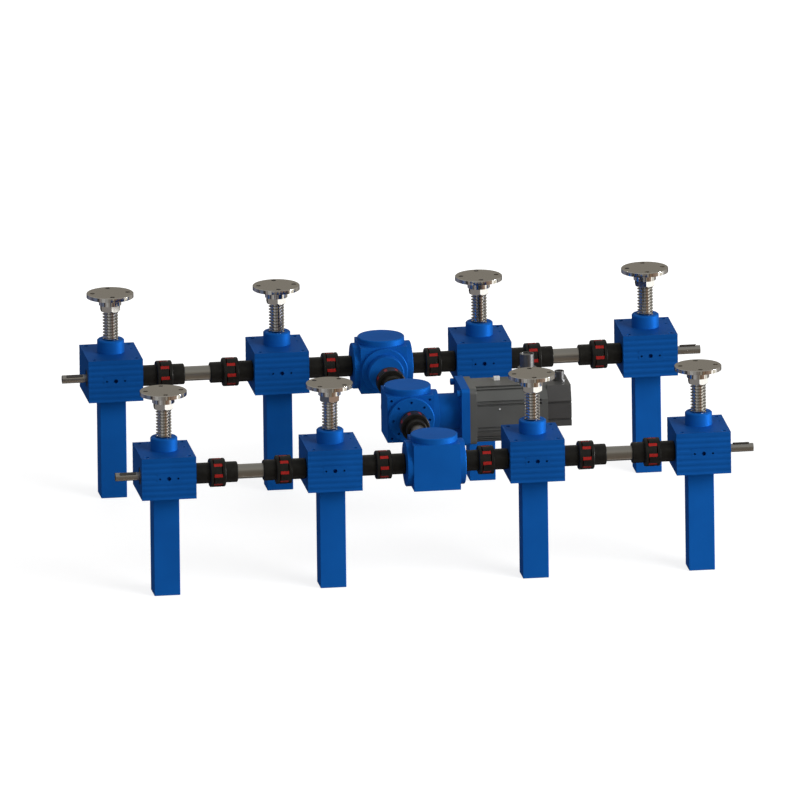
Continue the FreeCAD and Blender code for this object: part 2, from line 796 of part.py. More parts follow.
def socket(foot_diameter, foot_height, diameter, height):
    # A round plug socket that stands upright on a wider foot
    foot = foot_diameter / 2
    rim = diameter / 2
    top = foot_height + height
    return turned_upright([
        (0, 0), (foot, 0), (foot, foot_height), (rim, foot_height), (rim, top), (rim - socket_rim, top),
        (rim - socket_rim, top - socket_rim), (0, top - socket_rim)])


def motor_sockets():
    power = socket(socket_base_diameter, socket_base_height, power_socket_diameter, power_socket_height)
    signal = socket(signal_socket_foot, signal_foot_height, signal_socket_diameter, signal_socket_height)
    signal_x = motor_end + end_cover_length - signal_socket_inset
    return [placed(power, motor_end - power_socket_inset, 0, motor_width / 2),
            placed(signal, signal_x, 0, end_cover_top)]


# Putting the machine together

os.makedirs("parts", exist_ok=True)

# Each jack's name with the place of its own origin
jacks = []
for row in ("front", "back"):
    for number, jack_x in enumerate(row_jack_x):
        jacks.append((row + "_" + str(number + 1), jack_x, row_y[row] + worm_set_forward))


def at_every_jack(solids):
    return [placed(solid, x, y, tube_length) for name, x, y in jacks for solid in solids]


save("jack_housings", at_every_jack([jack_housing()]))
save("guide_collars", at_every_jack([guide_collar()]))
save("bearing_covers", at_every_jack([bearing_cover()]))
save("thrust_bearings", at_every_jack(thrust_bearings()))
save("protective_tubes", at_every_jack([protective_tube()]))
save("tube_end_caps", at_every_jack([tube_end_cap()]))

for name, jack_x, jack_y in jacks:
    turn = turned_flange_angle if name == turned_flange_jack else 0.0
    save("lift_screw_" + name, [placed(solid, jack_x, jack_y, tube_length) for solid in lift_screw()])
    head = [top_flange(turn), lock_nut(turn)]
    save("top_flange_" + name, [placed(solid, jack_x, jack_y, tube_length) for solid in head])
    save("worm_wheel_" + name, [placed(worm_wheel(), jack_x, jack_y, tube_length)])

half_housing = housing_width / 2
row_places = [
    (-outer_jack_x + half_housing + coupling_gap, "worm", "link"),
    (-inner_jack_x - half_housing - coupling_gap - coupling_length, "link", "worm"),
    (-inner_jack_x + half_housing + coupling_gap, "worm", "bevel"),
    (middle_coupling, "bevel", "worm"),
    (inner_jack_x + half_housing + coupling_gap, "worm", "link"),
    (outer_jack_x - half_housing - coupling_gap - coupling_length, "link", "worm")]
row_hubs, row_spiders = couplings(row_places)
row_links = [link_shaft(start + coupling_length, row_link_showing)
             for start, left, right in row_places if right == "link"]
row_worms = [placed(worm_shaft(), jack_x, 0, 0) for jack_x in row_jack_x]
row_keys = [placed(key, jack_x, 0, 0) for jack_x in row_jack_x for key in worm_keys()]

# The crown gears of the two rows sit on opposite sides, so that both rows turn the same way
for row, crown_turn in (("front", 180), ("back", 0)):
    line = (0, row_y[row], axis_height)
    save("worm_shafts_" + row, [placed(solid, *line) for solid in row_worms])
    save("shaft_keys_" + row, [placed(solid, *line) for solid in row_keys])
    save("coupling_hubs_" + row, [placed(solid, *line) for solid in row_hubs])
    save("coupling_spiders_" + row, [placed(solid, *line) for solid in row_spiders])
    save("link_shafts_" + row, [placed(solid, *line) for solid in row_links])
    save("bevel_shaft_" + row, [placed(through_shaft(), *line, crown_turn)])

front_box = (0, row_y["front"], axis_height)
back_box = (0, row_y["back"], axis_height)
middle_box = (0, middle_y, axis_height)

# The cross line lies along Y, on both sides of the middle gearbox, turned on by half a lobe
cross_starts = (middle_coupling, box_pitch - neck_coupling - coupling_length)
cross_places = [(cross_starts[0], "bevel", "link"), (cross_starts[1], "link", "bevel")]
cross_hubs, cross_spiders = couplings(cross_places)
cross_link = link_shaft(cross_starts[0] + coupling_length, cross_link_showing)


def on_cross_line(solids):
    rolled_on = [rolled(solid, 180 / lobe_count) for solid in solids]
    return [placed(solid, *middle_box, turn) for solid in rolled_on for turn in (90, -90)]


save("coupling_hubs_cross", on_cross_line(cross_hubs))
save("coupling_spiders_cross", on_cross_line(cross_spiders))
save("link_shafts_cross", on_cross_line([cross_link]))
save("bevel_shaft_cross", [placed(through_shaft(), *middle_box, -90)])
save("bevel_pinions_cross", [placed(pinion_shaft(), *front_box, 90), placed(pinion_shaft(), *back_box, -90)])

save("gearbox_housings", [
    placed(gearbox_housing([Y_AXIS], X_AXIS), *front_box),
    placed(gearbox_housing([-Y_AXIS], X_AXIS), *back_box),
    placed(gearbox_housing([X_AXIS], Y_AXIS).cut(corner_holes()), *middle_box)])
save("gearbox_covers", [placed(gearbox_cover(), *box) for box in (front_box, back_box, middle_box)])

# Where a through shaft leaves a gearbox: the box and the way out, as a turn from +X
shaft_exits = [(front_box, 0), (front_box, 180), (back_box, 0), (back_box, 180)]
middle_exits = [(middle_box, 90), (middle_box, -90)]
neck_places = [(front_box, 90), (back_box, -90)]
holed_flange = bearing_flange().cut(flange_screw_holes())
plain_flanges = [placed(bearing_flange(), *box, turn) for box, turn in shaft_exits]
holed_flanges = [placed(holed_flange, *box, turn) for box, turn in middle_exits]
save("bearing_flanges", plain_flanges + holed_flanges)
save("input_necks", [placed(input_neck(), *box, turn) for box, turn in neck_places])

flange_bearing = gearbox_bearing(half_box - bearing_flange_spigot)
radial = [placed(ring, jack_x, y, axis_height)
          for ring in worm_bearings() for jack_x in row_jack_x for y in row_y.values()]
radial += [placed(flange_bearing, *box, turn) for box, turn in shaft_exits + middle_exits]
radial += [placed(ring, *box, turn) for ring in neck_bearings() for box, turn in neck_places]
radial += [placed(ring, *middle_box) for ring in quill_bearings() + motor_bearings()]
save("radial_bearings", radial)

seals = [placed(ring, jack_x, y, axis_height)
         for ring in worm_seals() for jack_x in row_jack_x for y in row_y.values()]
seals += [placed(gearbox_seal(box_reach), *box, turn) for box, turn in shaft_exits + middle_exits]
seals += [placed(gearbox_seal(neck_reach), *box, turn) for box, turn in neck_places]
save("shaft_seals", seals)

save("quill_pinion", [placed(quill_pinion(), *middle_box)])
save("motor_rotor", [placed(motor_rotor(), *middle_box)])
save("motor_bell", [placed(motor_bell(), *middle_box)])
save("motor_flange", [placed(motor_flange(), *middle_box)])
save("motor_body", [placed(motor_body(), *middle_box)])
save("motor_end_cover", [placed(motor_end_cover(), *middle_box)])
save("motor_sockets", [placed(solid, *middle_box) for solid in motor_sockets()])
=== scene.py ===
import bpy, bmesh, math
from mathutils import Matrix, Vector


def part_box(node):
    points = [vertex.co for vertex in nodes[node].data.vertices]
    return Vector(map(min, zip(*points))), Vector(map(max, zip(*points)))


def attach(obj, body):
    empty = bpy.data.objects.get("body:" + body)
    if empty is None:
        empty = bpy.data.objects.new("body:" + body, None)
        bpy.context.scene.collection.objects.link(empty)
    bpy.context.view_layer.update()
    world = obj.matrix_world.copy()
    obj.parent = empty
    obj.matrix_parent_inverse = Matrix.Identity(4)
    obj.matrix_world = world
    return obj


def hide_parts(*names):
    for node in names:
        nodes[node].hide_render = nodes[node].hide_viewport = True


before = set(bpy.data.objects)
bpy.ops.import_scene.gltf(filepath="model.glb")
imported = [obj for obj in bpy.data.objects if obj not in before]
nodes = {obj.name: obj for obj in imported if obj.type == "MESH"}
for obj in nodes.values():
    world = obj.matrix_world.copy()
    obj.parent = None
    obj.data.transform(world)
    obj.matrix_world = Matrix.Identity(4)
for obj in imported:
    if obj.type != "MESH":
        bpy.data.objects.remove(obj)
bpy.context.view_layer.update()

# Jack housings: eight grey iron blocks, sand cast, milled on top and ribbed front and back.
# Sprayed in a blue metallic enamel, which softens the edges: a satin blue with a fine orange peel.
MM = 0.001
housing_edge = 0.35


def linear(code):
    """Turns an sRGB hex value into linear red, green, blue and alpha."""
    parts = [int(code[i:i + 2], 16) / 255 for i in (0, 2, 4)]
    return [c / 12.92 if c < 0.04045 else ((c + 0.055) / 1.055) ** 2.4 for c in parts] + [1.0]


def join(tree, node, links):
    """Links sockets to the inputs of a node."""
    for name, socket in links.items():
        tree.links.new(socket, node.inputs[name])


def add(tree, kind, settings=None, links=None, stops=()):
    """Adds a node with its settings, the sockets that feed it, and the stops of a ramp."""
    node = tree.nodes.new("ShaderNode" + kind)
    for name, value in (settings or {}).items():
        if isinstance(name, int) or name in node.inputs:
            node.inputs[name].default_value = value
        else:
            setattr(node, name, value)
    join(tree, node, links or {})
    if stops:
        ramp = node.color_ramp.elements
        ramp[0].position, ramp[0].color = stops[0][0], linear(stops[0][1])
        ramp[1].position, ramp[1].color = stops[-1][0], linear(stops[-1][1])
        for place, code in stops[1:-1]:
            ramp.new(place).color = linear(code)
    return node


def finish(name, settings):
    """Starts a material: its node tree, its shader and the place on the piece in metres."""
    material = bpy.data.materials.new(name)
    material.use_nodes = True
    tree = material.node_tree
    shader = tree.nodes["Principled BSDF"]
    for socket, value in settings.items():
        shader.inputs[socket].default_value = value
    return material, tree, shader, add(tree, "TexCoord").outputs["Object"]


def piece(name, bm, material, body, stands_for=()):
    """Makes a mesh an object that rides on a body, smooth, with flat faces kept flat."""
    for face in bm.faces:
        face.smooth = True
    for edge in bm.edges:
        edge.smooth = len(edge.link_faces) == 2 and edge.calc_face_angle() < math.radians(50)
    mesh = bpy.data.meshes.new(name)
    bm.to_mesh(mesh)
    bm.free()
    mesh.materials.append(material)
    made = bpy.data.objects.new(name, mesh)
    bpy.context.scene.collection.objects.link(made)
    even = made.modifiers.new("even_normals", "WEIGHTED_NORMAL")
    even.keep_sharp = True
    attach(made, body)
    for node_name in stands_for:
        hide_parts(node_name)
    return made


def merged_copy(node_name):
    """A copy of a CAD node's mesh, its loose triangles merged into whole faces."""
    bm = bmesh.new()
    bm.from_mesh(nodes[node_name].data)
    bmesh.ops.remove_doubles(bm, verts=bm.verts, dist=0.005 * MM)
    bmesh.ops.dissolve_limit(bm, angle_limit=math.radians(1), verts=bm.verts, edges=bm.edges)
    return bm


def round_over(bm, edges, width):
    """Rounds edges over, by a width in millimetres."""
    bmesh.ops.bevel(bm, geom=edges, offset=width * MM, offset_type="OFFSET", segments=2, profile=0.5,
                    affect="EDGES", clamp_overlap=True, material=-1)


def rounded(piece_name, node_name, edge, material, body):
    """A copy of a CAD node with its sharp edges rounded over, which stands for the node."""
    bm = merged_copy(node_name)
    round_over(bm, [e for e in bm.edges if e.calc_face_angle(0) > math.radians(40)], edge)
    return piece(piece_name, bm, material, body, [node_name])


def enamel(name, darkest, palest):
    """Metallic enamel: peel 2.5 mm and clouds 90 mm across, both coarser than real so that they show."""
    paint, tree, shader, place = finish(name, {"Metallic": 0.5, "Specular IOR Level": 0.0})
    cloud = add(tree, "TexNoise", {"Scale": 1 / (90 * MM), "Detail": 2.0}, {"Vector": place})
    shade = add(tree, "ValToRGB", {}, {"Fac": cloud.outputs["Fac"]}, [(0.3, darkest), (0.7, palest)])
    peel = add(tree, "TexNoise", {"Scale": 1 / (2.5 * MM), "Detail": 1.0}, {"Vector": place})
    gloss = add(tree, "MapRange", {"To Min": 0.5, "To Max": 0.58}, {"Value": peel.outputs["Fac"]})
    bump = add(tree, "Bump", {"Strength": 0.05, "Distance": 0.2 * MM}, {"Height": peel.outputs["Fac"]})
    join(tree, shader, {"Base Color": shade.outputs["Color"], "Roughness": gloss.outputs["Result"],
                        "Normal": bump.outputs["Normal"]})
    return paint


# The housings' copy of the enamel is painted a little darker than the plain one: painted shade for their
# ribbed fronts.
rib_shaded_enamel = enamel("blue_enamel_darkened_for_rib_shade", "114f98", "1356a4")
rounded("housing_castings", "jack_housings", housing_edge, rib_shaded_enamel, "base")

# Guide collars and the bearing covers under the worm wheels: turned from steel bar.
# Screwed into the housings; they take the plain enamel, a little paler than the housings' copy, which carries
# painted shade for their ribs.
blue_enamel = enamel("blue_enamel_plain", "1358a9", "1560b5")


def coat(material, node_names):
    """Gives CAD nodes a material."""
    for node_name in node_names:
        for slot in nodes[node_name].material_slots:
            slot.material = material


coat(blue_enamel, ["guide_collars", "bearing_covers"])

# Protective tubes: drawn square steel tube, 50 mm wide, with slightly rounded outer corners.
# Fixed upright under the housings and sprayed in the same enamel.
tube_edge = 1.2
rounded("square_tubes", "protective_tubes", tube_edge, blue_enamel, "base")

# End caps of the tubes: black polyethylene, injection moulded and pressed in from below.
# The spark-eroded mould leaves a dull grain, drawn 1.5 mm across, coarser than real, so that it shows.
black_cap, tree, shader, place = finish("black_polyethylene", {"Roughness": 0.55})
grain = add(tree, "TexNoise", {"Scale": 1 / (1.5 * MM), "Detail": 2.0}, {"Vector": place})
shade = add(tree, "ValToRGB", {}, {"Fac": grain.outputs["Fac"]}, [(0.3, "101011"), (0.7, "19191a")])
bump = add(tree, "Bump", {"Strength": 0.15, "Distance": 0.1 * MM}, {"Height": grain.outputs["Fac"]})
join(tree, shader, {"Base Color": shade.outputs["Color"], "Normal": bump.outputs["Normal"]})
coat(black_cap, ["tube_end_caps"])

# Lifting screws: right-hand trapezoidal thread, 30 mm across with 6 mm pitch, whirled from bright steel.
# Streaks round the thread are drawn 0.8 mm apart and its crests slimmer than real, so that both show.
# A square block at the lower end slides in the tube, so the screw can't turn with the worm wheel.
pitch, crest_radius, root_radius, steps_a_turn = 6.0, 14.98, 11.5, 40
tooth = ((root_radius, 0.0), (root_radius, 2.5), (crest_radius, 3.6), (crest_radius, 4.9),
         (root_radius, pitch))
thread_start, block_height, block_edge = 14.0, 20.0, 1.5
jacks = ["%s_%d" % (row, number) for row in ("front", "back") for number in (1, 2, 3, 4)]


def corners_of(geom):
    """The vertices among some mesh elements."""
    return [part for part in geom if isinstance(part, bmesh.types.BMVert)]


def everything(bm):
    """All the vertices, edges and faces of a mesh."""
    return bm.verts[:] + bm.edges[:] + bm.faces[:]


bright_steel, tree, shader, place = finish("bright_whirled_steel", {
    "Base Color": linear("cfcdc8"), "Metallic": 1.0})
streak = add(tree, "Mapping", {"Scale": (1 / (9 * MM), 1 / (9 * MM), 1 / (0.8 * MM))}, {"Vector": place})
marks = add(tree, "TexNoise", {"Scale": 1.0, "Detail": 2.0}, {"Vector": streak.outputs["Vector"]})
gloss = add(tree, "MapRange", {"To Min": 0.08, "To Max": 0.2}, {"Value": marks.outputs["Fac"]})
join(tree, shader, {"Roughness": gloss.outputs["Result"]})

low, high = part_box("lift_screw_front_1")
bm = bmesh.new()
outline = [bm.verts.new((radius * MM, 0, height * MM)) for radius, height in tooth]
edges = [bm.edges.new(pair) for pair in zip(outline, outline[1:])]
bmesh.ops.spin(bm, geom=outline + edges, axis=(0, 0, 1), cent=(0, 0, 0), angle=2 * math.pi,
               steps=steps_a_turn, dvec=(0, 0, pitch * MM / steps_a_turn))
turns = 1
while turns * pitch * MM < high.z - low.z + pitch * MM:
    more = bmesh.ops.duplicate(bm, geom=everything(bm))["geom"]
    bmesh.ops.translate(bm, verts=corners_of(more), vec=(0, 0, turns * pitch * MM))
    turns *= 2
bmesh.ops.remove_doubles(bm, verts=bm.verts, dist=0.01 * MM)
for cut, outwards in ((thread_start * MM, -1), (high.z - low.z, 1)):
    bmesh.ops.bisect_plane(bm, geom=everything(bm), plane_co=(0, 0, cut), plane_no=(0, 0, outwards),
                           clear_outer=True)
    rim = [e for e in bm.edges if e.is_boundary and all(abs(v.co.z - cut) < 0.01 * MM for v in e.verts)]
    bmesh.ops.contextual_create(bm, geom=rim)
bmesh.ops.recalc_face_normals(bm, faces=bm.faces)
block = bmesh.ops.create_cube(bm, size=1.0)["verts"]
bmesh.ops.scale(bm, verts=block, vec=(high.x - low.x, high.y - low.y, block_height * MM))
bmesh.ops.translate(bm, verts=block, vec=(0, 0, block_height / 2 * MM))
round_over(bm, list({e for v in block for e in v.link_edges}), block_edge)
for jack in jacks:
    low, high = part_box("lift_screw_" + jack)
    one = bm.copy()
    bmesh.ops.translate(one, verts=one.verts, vec=((low.x + high.x) / 2, (low.y + high.y) / 2, low.z))
    piece("threaded_screw_" + jack, one, bright_steel, "screw_" + jack,
          ["lift_screw_" + jack])
bm.free()

# Top flanges and lock nuts: turned from steel, polished bright, screwed on the ends of the lifting screws.
# The lathe leaves rings round the axis; they are drawn 1.2 mm apart, coarser than real, so that they show.
turned_steel, tree, shader, place = finish("polished_turned_steel", {
    "Base Color": linear("d2cfc9"), "Metallic": 1.0})
own = add(tree, "Attribute", {"attribute_name": "from_axis"})
flat = add(tree, "VectorMath", {"operation": "MULTIPLY", 1: (1.0, 1.0, 0.0)}, {0: own.outputs["Vector"]})
radius = add(tree, "VectorMath", {"operation": "LENGTH"}, {0: flat.outputs["Vector"]})
rings = add(tree, "TexNoise", {"noise_dimensions": "1D", "Scale": 1 / (1.2 * MM), "Detail": 1.0},
            {"W": radius.outputs["Value"]})
gloss = add(tree, "MapRange", {"To Min": 0.06, "To Max": 0.16}, {"Value": rings.outputs["Fac"]})
bump = add(tree, "Bump", {"Strength": 0.04, "Distance": 0.05 * MM}, {"Height": rings.outputs["Fac"]})
join(tree, shader, {"Roughness": gloss.outputs["Result"], "Normal": bump.outputs["Normal"]})
for jack in jacks:
    low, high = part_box("top_flange_" + jack)
    bm = merged_copy("top_flange_" + jack)
    from_axis = bm.verts.layers.float_vector.new("from_axis")
    for vert in bm.verts:
        vert[from_axis] = vert.co - (low + high) / 2
    piece("turned_flange_" + jack, bm, turned_steel, "screw_" + jack, ["top_flange_" + jack])

# Worm wheels with the lifting nut: bronze, cast and turned, running between bearings in the housings.
# A warm yellow metal with clouds about 14 mm across, left by the casting.
bronze, tree, shader, place = finish("turned_bronze", {"Metallic": 1.0})
cloud = add(tree, "TexNoise", {"Scale": 1 / (14 * MM), "Detail": 3.0}, {"Vector": place})
shade = add(tree, "ValToRGB", {}, {"Fac": cloud.outputs["Fac"]}, [(0.3, "a5793f"), (0.7, "bf9150")])
gloss = add(tree, "MapRange", {"To Min": 0.22, "To Max": 0.38}, {"Value": cloud.outputs["Fac"]})
join(tree, shader, {"Base Color": shade.outputs["Color"], "Roughness": gloss.outputs["Result"]})
coat(bronze, [n for n in nodes if n.startswith("worm_wheel_")])

# Bearings: hardened and ground bearing steel, pressed into the housings and flanges.
# Nearly a mirror; its fine scratches are drawn 0.7 mm apart, coarser than real, so that they show.
bearing_steel, tree, shader, place = finish("ground_bearing_steel", {
    "Base Color": linear("d4d4d2"), "Metallic": 1.0})
scratch = add(tree, "TexNoise", {"Scale": 1 / (0.7 * MM), "Detail": 1.0}, {"Vector": place})
gloss = add(tree, "MapRange", {"To Min": 0.12, "To Max": 0.22}, {"Value": scratch.outputs["Fac"]})
join(tree, shader, {"Roughness": gloss.outputs["Result"]})
coat(bearing_steel, ["thrust_bearings", "radial_bearings"])

# Shaft seals: moulded rings of nitrile rubber, pressed in where the shafts leave the housings.
# Dull black, with patches of bloom about 4 mm across.
seal_rubber, tree, shader, place = finish("nitrile_rubber", {"Roughness": 0.7})
bloom = add(tree, "TexNoise", {"Scale": 1 / (4 * MM), "Detail": 3.0}, {"Vector": place})
shade = add(tree, "ValToRGB", {}, {"Fac": bloom.outputs["Fac"]}, [(0.3, "0d0d0e"), (0.75, "1b1a1a")])
join(tree, shader, {"Base Color": shade.outputs["Color"]})
coat(seal_rubber, ["shaft_seals"])

# Worm shafts, bevel shafts, pinions and the motor's rotor: turned and milled steel, oiled.
# The tool leaves feed marks round the shafts, drawn 0.9 mm apart along X, the way most of them lie.
machined_steel, tree, shader, place = finish("oiled_machined_steel", {
    "Base Color": linear("a5a29c"), "Metallic": 1.0})
feed = add(tree, "Mapping", {"Scale": (1 / (0.9 * MM), 1 / (20 * MM), 1 / (20 * MM))}, {"Vector": place})
marks = add(tree, "TexNoise", {"Scale": 1.0, "Detail": 1.0}, {"Vector": feed.outputs["Vector"]})
gloss = add(tree, "MapRange", {"To Min": 0.2, "To Max": 0.36}, {"Value": marks.outputs["Fac"]})
bump = add(tree, "Bump", {"Strength": 0.01, "Distance": 0.05 * MM}, {"Height": marks.outputs["Fac"]})
join(tree, shader, {"Roughness": gloss.outputs["Result"], "Normal": bump.outputs["Normal"]})
coat(machined_steel, [n for n in nodes if n.startswith((
    "worm_shafts_", "bevel_shaft_", "bevel_pinions_", "quill_pinion", "motor_rotor"))])

# Shaft keys: drawn key steel, pressed into the keyways of the worm shafts.
# Their steel is painted dark, as painted shade along the keys, and left a dull metal, with patches about 6 mm
# across.
painted_shade_key_steel, tree, shader, place = finish("key_steel_with_painted_shade", {"Metallic": 1.0})
patch = add(tree, "TexNoise", {"Scale": 1 / (6 * MM), "Detail": 2.0}, {"Vector": place})
shade = add(tree, "ValToRGB", {}, {"Fac": patch.outputs["Fac"]}, [(0.3, "5c5a58"), (0.7, "666462")])
gloss = add(tree, "MapRange", {"To Min": 0.26, "To Max": 0.38}, {"Value": patch.outputs["Fac"]})
join(tree, shader, {"Base Color": shade.outputs["Color"], "Roughness": gloss.outputs["Result"]})
coat(painted_shade_key_steel, ["shaft_keys_front", "shaft_keys_back"])

# Coupling hubs: steel with an oil-black oxide finish, pushed on the shaft ends.
# The oxide is brown-black and thin, so the steel under it still gives a soft sheen.
black_oxide, tree, shader, place = finish("black_oxide_steel", {"Metallic": 0.35, "Specular IOR Level": 0.2})
patch = add(tree, "TexNoise", {"Scale": 1 / (11 * MM), "Detail": 3.0}, {"Vector": place})
shade = add(tree, "ValToRGB", {}, {"Fac": patch.outputs["Fac"]}, [(0.3, "181715"), (0.7, "201f1c")])
gloss = add(tree, "MapRange", {"To Min": 0.36, "To Max": 0.5}, {"Value": patch.outputs["Fac"]})
join(tree, shader, {"Base Color": shade.outputs["Color"], "Roughness": gloss.outputs["Result"]})
coat(black_oxide, [n for n in nodes if n.startswith("coupling_hubs_")])

# Coupling spiders: red polyurethane, cast in one piece, held between the jaws of the two hubs.
# A deep even red with a waxy gloss, and faint clouds about 7 mm across.
red_urethane, tree, shader, place = finish("red_polyurethane", {
    "Roughness": 0.42, "Specular IOR Level": 0.3})
cloud = add(tree, "TexNoise", {"Scale": 1 / (7 * MM), "Detail": 2.0}, {"Vector": place})
shade = add(tree, "ValToRGB", {}, {"Fac": cloud.outputs["Fac"]}, [(0.3, "7c1210"), (0.7, "8e1a15")])
join(tree, shader, {"Base Color": shade.outputs["Color"]})
coat(red_urethane, [n for n in nodes if n.startswith("coupling_spiders_")])

# Line shafts: drawn steel bar, centreless ground, so its fine marks run round the shaft.
# One finish for the shafts along X and one for those along Y; marks drawn 0.6 mm apart, coarser than real.
for ends, along in ((("front", "back"), 0), (("cross",), 1)):
    ground_steel, tree, shader, place = finish("ground_bar_steel_" + "xy"[along], {
        "Base Color": linear("a09d96"), "Metallic": 1.0})
    spread = [1 / (25 * MM)] * 3
    spread[along] = 1 / (0.6 * MM)
    grind = add(tree, "Mapping", {"Scale": spread}, {"Vector": place})
    marks = add(tree, "TexNoise", {"Scale": 1.0, "Detail": 2.0}, {"Vector": grind.outputs["Vector"]})
    gloss = add(tree, "MapRange", {"To Min": 0.24, "To Max": 0.4}, {"Value": marks.outputs["Fac"]})
    join(tree, shader, {"Roughness": gloss.outputs["Result"]})
    coat(ground_steel, ["link_shafts_" + end for end in ends])

# Bevel gearboxes: three cast iron cubes with turned covers, bearing flanges and input necks, screwed on.
# Milled flat, edges broken, and sprayed in the same blue enamel as the jacks.
cube_edge = 1.0
rounded("gearbox_cubes", "gearbox_housings", cube_edge, blue_enamel, "base")
coat(blue_enamel, ["gearbox_covers", "bearing_flanges", "input_necks", "motor_bell"])

# Cap screws of the motor plate: four M8 socket heads on the gearbox side of the plate's corners.
# Steel, screwed in from the gearbox side and sprayed over with the plate.
head_radius, head_length, head_edge = 6.5, 8.0, 0.8
socket_radius, socket_depth = 3.9, 4.0
screw_circle, plate_thickness = 130.0, 16.0
plate_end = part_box("motor_bell")[1].x
motor_low, motor_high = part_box("motor_body")
motor_axis = (motor_low + motor_high) / 2
bm = bmesh.new()
rim = bmesh.ops.create_circle(bm, segments=24, radius=(head_radius - head_edge) * MM)["verts"]
rim_edges = list({e for v in rim for e in v.link_edges})
hexagon = bmesh.ops.create_circle(bm, segments=6, radius=socket_radius * MM)["verts"]
hexagon_edges = list({e for v in hexagon for e in v.link_edges})
bmesh.ops.bridge_loops(bm, edges=rim_edges + hexagon_edges)
sunk = bmesh.ops.extrude_edge_only(bm, edges=hexagon_edges)["geom"]
bmesh.ops.translate(bm, verts=corners_of(sunk), vec=(0, 0, -socket_depth * MM))
bmesh.ops.contextual_create(bm, geom=[e for e in sunk if isinstance(e, bmesh.types.BMEdge) and e.is_boundary])
for wider, lower in ((head_radius / (head_radius - head_edge), head_edge), (1.0, head_length - head_edge)):
    skirt = bmesh.ops.extrude_edge_only(bm, edges=rim_edges)["geom"]
    rim_edges = [e for e in skirt if isinstance(e, bmesh.types.BMEdge) and e.is_boundary]
    ends = list({v for e in rim_edges for v in e.verts})
    bmesh.ops.scale(bm, verts=ends, vec=(wider, wider, 1.0))
    bmesh.ops.translate(bm, verts=ends, vec=(0, 0, -lower * MM))
bmesh.ops.contextual_create(bm, geom=rim_edges)
bmesh.ops.recalc_face_normals(bm, faces=bm.faces)
bmesh.ops.rotate(bm, verts=bm.verts, cent=(0, 0, 0), matrix=Matrix.Rotation(math.radians(-90), 3, "Y"))
one = everything(bm)
corner = screw_circle / 2 * math.sqrt(0.5) * MM
for side, height in ((-1, -1), (-1, 1), (1, -1), (1, 1)):
    more = bmesh.ops.duplicate(bm, geom=one)["geom"]
    bmesh.ops.translate(bm, verts=corners_of(more), vec=(
        plate_end - (plate_thickness + head_length) * MM,
        motor_axis.y + side * corner, motor_axis.z + height * corner))
bmesh.ops.delete(bm, geom=corners_of(one), context="VERTS")
piece("motor_plate_screws", bm, blue_enamel, "base")

# Servo motor: extruded aluminium body with long grooves and a cast flange, powder coated dark grey.
# The end cover is moulded in black glass-filled nylon and screwed on behind.
# Both look satin, with a grain that is drawn 1.5 mm across, coarser than real, so that it shows.
motor_edge = 0.25
for name, darkest, palest, parts in (
        ("dark_grey_powder_coat", "40413f", "474846", ("motor_flange", "motor_body")),
        ("black_glass_filled_nylon", "2e2e2e", "343433", ("motor_end_cover",))):
    satin, tree, shader, place = finish(name, {"Specular IOR Level": 0.95})
    grain = add(tree, "TexNoise", {"Scale": 1 / (1.5 * MM), "Detail": 2.0}, {"Vector": place})
    cloud = add(tree, "TexNoise", {"Scale": 1 / (60 * MM), "Detail": 1.0}, {"Vector": place})
    shade = add(tree, "ValToRGB", {}, {"Fac": cloud.outputs["Fac"]}, [(0.3, darkest), (0.7, palest)])
    gloss = add(tree, "MapRange", {"To Min": 0.36, "To Max": 0.48}, {"Value": grain.outputs["Fac"]})
    bump = add(tree, "Bump", {"Strength": 0.12, "Distance": 0.15 * MM}, {"Height": grain.outputs["Fac"]})
    join(tree, shader, {"Base Color": shade.outputs["Color"], "Roughness": gloss.outputs["Result"],
                        "Normal": bump.outputs["Normal"]})
    for part in parts:
        rounded(part + "_satin", part, motor_edge, satin, "base")

# Plug sockets on the motor: turned brass, nickel plated, screwed on upright.
# The plating is a satin grey metal, with patches about 5 mm across.
nickel, tree, shader, place = finish("satin_nickel", {"Metallic": 1.0})
patch = add(tree, "TexNoise", {"Scale": 1 / (5 * MM), "Detail": 2.0}, {"Vector": place})
shade = add(tree, "ValToRGB", {}, {"Fac": patch.outputs["Fac"]}, [(0.3, "7d7e80"), (0.7, "898a8b")])
gloss = add(tree, "MapRange", {"To Min": 0.28, "To Max": 0.4}, {"Value": patch.outputs["Fac"]})
join(tree, shader, {"Base Color": shade.outputs["Color"], "Roughness": gloss.outputs["Result"]})
coat(nickel, ["motor_sockets"])

# Bright fittings on the motor: a small clamp on its top, and the head of a screw in its front.
# Steel, zinc plated; their nearly white, half metallic colour is a painted highlight for the white spots
# there, with patches about 3 mm across.
clamp_size, clamp_edge, clamp_along, clamp_behind = (12, 8, 8), 1.0, 47, 7
head_wide, head_narrow, head_height, head_along, head_above = 1.8, 1.2, 1.0, 44, 14
zinc_whitened_as_highlight, tree, shader, place = finish("zinc_plate_painted_as_highlight", {"Metallic": 0.4})
patch = add(tree, "TexNoise", {"Scale": 1 / (3 * MM), "Detail": 2.0}, {"Vector": place})
shade = add(tree, "ValToRGB", {}, {"Fac": patch.outputs["Fac"]}, [(0.3, "dededc"), (0.7, "f0f0ee")])
gloss = add(tree, "MapRange", {"To Min": 0.3, "To Max": 0.45}, {"Value": patch.outputs["Fac"]})
join(tree, shader, {"Base Color": shade.outputs["Color"], "Roughness": gloss.outputs["Result"]})
bm = bmesh.new()
clamp = bmesh.ops.create_cube(bm, size=1.0)["verts"]
bmesh.ops.scale(bm, verts=clamp, vec=[size * MM for size in clamp_size])
round_over(bm, bm.edges[:], clamp_edge)
bmesh.ops.translate(bm, verts=bm.verts, vec=(
    motor_low.x + clamp_along * MM, motor_axis.y + clamp_behind * MM, motor_high.z + clamp_size[2] / 2 * MM))
piece("motor_clamp_with_highlight", bm, zinc_whitened_as_highlight, "base")
bm = bmesh.new()
